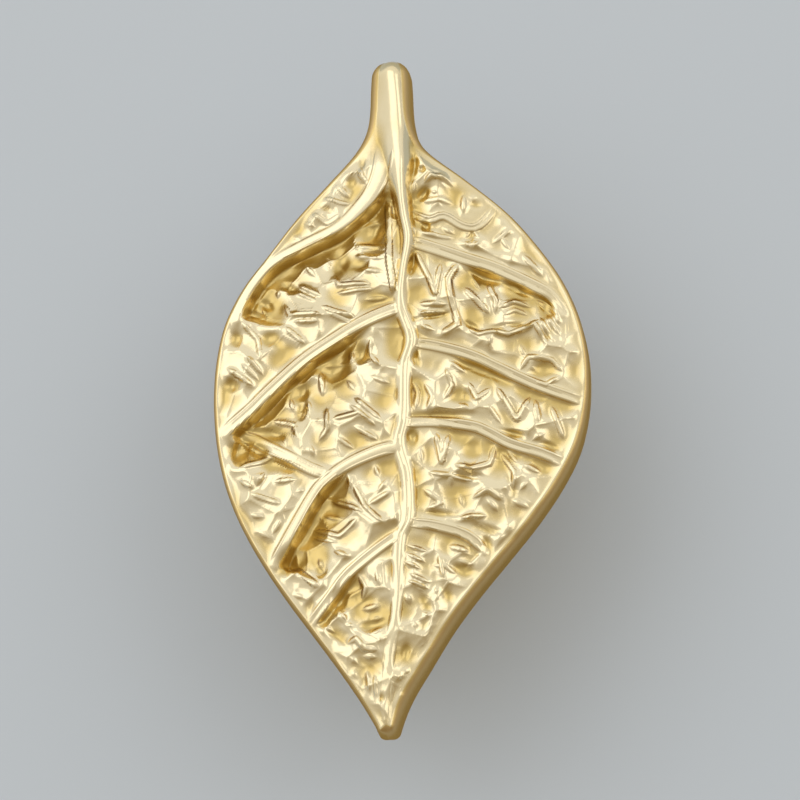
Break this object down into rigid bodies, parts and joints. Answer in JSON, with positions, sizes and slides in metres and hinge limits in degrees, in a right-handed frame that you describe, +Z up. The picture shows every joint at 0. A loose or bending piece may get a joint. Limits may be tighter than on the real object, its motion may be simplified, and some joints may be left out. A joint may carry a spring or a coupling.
{
  "type": "leaf shaped drawer pull",
  "caption": "Cast brass drawer pull shaped as a veined leaf, on an integral post with a blind tapped hole.",
  "frame": {"origin": "centre of the post's mounting face, on the axis of the screw hole", "axes": "+Z up along the leaf towards its stem, +Y into the drawer front along the post, +X to the right as seen from the front"},
  "size_m": [0.0428, 0.0248, 0.0796],
  "materials": {
    "brass": "cast yellow brass, polished to a bright satin on the raised parts"
  },
  "bodies": {
    "root": {"leaf_casting": "brass"}
  },
  "joints": []
}
